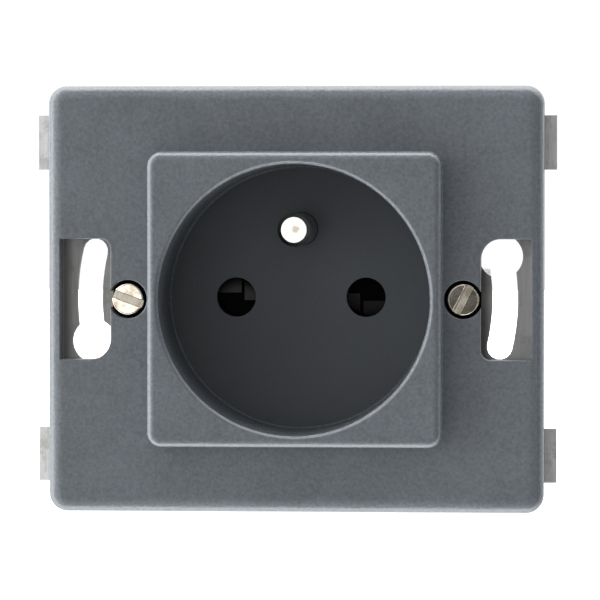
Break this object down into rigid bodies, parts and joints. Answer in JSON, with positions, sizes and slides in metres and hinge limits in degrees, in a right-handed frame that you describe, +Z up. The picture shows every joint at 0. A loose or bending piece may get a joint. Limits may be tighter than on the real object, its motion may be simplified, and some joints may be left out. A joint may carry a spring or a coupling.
{
  "type": "modular socket outlet",
  "caption": "Flush modular wall socket: grey cover with a round plug well and earth pin on a steel frame with claws, housing and screw terminals.",
  "frame": {"origin": "centre of the fixing plane: the plug well's axis at the level of the steel frame's rear face", "axes": "+Y into the wall, along the plug's way in; +Z up, towards the earth pin; +X to the right seen from the front"},
  "size_m": [0.0748, 0.037, 0.0612],
  "materials": {
    "cover_plastic": "fine satin grain",
    "floor_plastic": "fine satin grain",
    "housing_plastic": "moulded matte",
    "shutter_plastic": "smooth",
    "zinc_steel": "zinc plated, satin",
    "nickel_plate": "nickel plated, fine turned",
    "contact_brass": "stamped",
    "spring_steel": "bright"
  },
  "bodies": {
    "mechanism": {"front_cover": "cover_plastic", "contact_cover": "floor_plastic", "rear_housing": "housing_plastic", "support_frame": "zinc_steel", "shutter_spring": "spring_steel", "earth_pin": "nickel_plate", "earth_strap": "contact_brass", "phase_contact": "contact_brass", "neutral_contact": "contact_brass", "assembly_screw_1": "zinc_steel", "assembly_screw_2": "zinc_steel", "assembly_screw_3": "zinc_steel", "assembly_screw_4": "zinc_steel"},
    "shutter_disc": {"shutter": "shutter_plastic"},
    "phase_clamp": {"phase_terminal_washer": "zinc_steel"},
    "phase_screw": {"phase_terminal_screw": "nickel_plate"},
    "neutral_clamp": {"neutral_terminal_washer": "zinc_steel"},
    "neutral_screw": {"neutral_terminal_screw": "nickel_plate"},
    "earth_clamp": {"earth_terminal_washer": "zinc_steel"},
    "earth_screw": {"earth_terminal_screw": "nickel_plate"},
    "left_screw": {"left_claw_screw": "nickel_plate"},
    "left_nut": {"left_claw_nut": "zinc_steel"},
    "left_arm": {"left_claw": "spring_steel"},
    "right_screw": {"right_claw_screw": "nickel_plate"},
    "right_nut": {"right_claw_nut": "zinc_steel"},
    "right_arm": {"right_claw": "spring_steel"}
  },
  "joints": [
    {"name": "shutter_turn", "type": "hinge", "parent": "mechanism", "child": "shutter_disc", "pos_m": [0, 0.0099, 0], "axis": [0, -1, 0], "range_deg": [0, 34], "stiffness_Nm_per_rad": 0.004, "springref_deg": -20.05, "deforming": ["shutter_spring"]},
    {"name": "phase_clamp_lift", "type": "slide", "parent": "mechanism", "child": "phase_clamp", "axis": [0, 1, 0], "range_m": [0, 0.0024]},
    {"name": "phase_screw_turn", "type": "hinge", "parent": "phase_clamp", "child": "phase_screw", "pos_m": [0.0052, 0.022, -0.016], "axis": [0, 1, 0], "range_deg": [0, 1440]},
    {"name": "neutral_clamp_lift", "type": "slide", "parent": "mechanism", "child": "neutral_clamp", "axis": [0, 1, 0], "range_m": [0, 0.0024]},
    {"name": "neutral_screw_turn", "type": "hinge", "parent": "neutral_clamp", "child": "neutral_screw", "pos_m": [-0.0052, 0.022, -0.016], "axis": [0, 1, 0], "range_deg": [0, 1440]},
    {"name": "earth_clamp_lift", "type": "slide", "parent": "mechanism", "child": "earth_clamp", "axis": [0, 1, 0], "range_m": [0, 0.0024]},
    {"name": "earth_screw_turn", "type": "hinge", "parent": "earth_clamp", "child": "earth_screw", "pos_m": [0, 0.022, 0.016], "axis": [0, 1, 0], "range_deg": [0, 1440]},
    {"name": "left_screw_turn", "type": "hinge", "parent": "mechanism", "child": "left_screw", "pos_m": [-0.0241, -0.0015, 0], "axis": [0, 1, 0], "range_deg": [0, 6480]},
    {"name": "left_nut_travel", "type": "slide", "parent": "mechanism", "child": "left_nut", "axis": [0, -1, 0], "range_m": [0, 0.009]},
    {"name": "left_claw_swing", "type": "hinge", "parent": "mechanism", "child": "left_arm", "pos_m": [-0.0241, 0.0025, 0], "axis": [0, 0, 1], "range_deg": [0, 18]},
    {"name": "right_screw_turn", "type": "hinge", "parent": "mechanism", "child": "right_screw", "pos_m": [0.0241, -0.0015, 0], "axis": [0, 1, 0], "range_deg": [0, 6480]},
    {"name": "right_nut_travel", "type": "slide", "parent": "mechanism", "child": "right_nut", "axis": [0, -1, 0], "range_m": [0, 0.009]},
    {"name": "right_claw_swing", "type": "hinge", "parent": "mechanism", "child": "right_arm", "pos_m": [0.0241, 0.0025, 0], "axis": [0, 0, -1], "range_deg": [0, 18]}
  ],
  "couplings": [
    {"joint": "phase_screw_turn", "follows": "phase_clamp_lift", "rad_per_m": 10472},
    {"joint": "neutral_screw_turn", "follows": "neutral_clamp_lift", "rad_per_m": 10472},
    {"joint": "earth_screw_turn", "follows": "earth_clamp_lift", "rad_per_m": 10472},
    {"joint": "left_screw_turn", "follows": "left_nut_travel", "rad_per_m": 12566},
    {"joint": "left_claw_swing", "follows": "left_nut_travel", "rad_per_m": 34.907},
    {"joint": "right_screw_turn", "follows": "right_nut_travel", "rad_per_m": 12566},
    {"joint": "right_claw_swing", "follows": "right_nut_travel", "rad_per_m": 34.907}
  ]
}
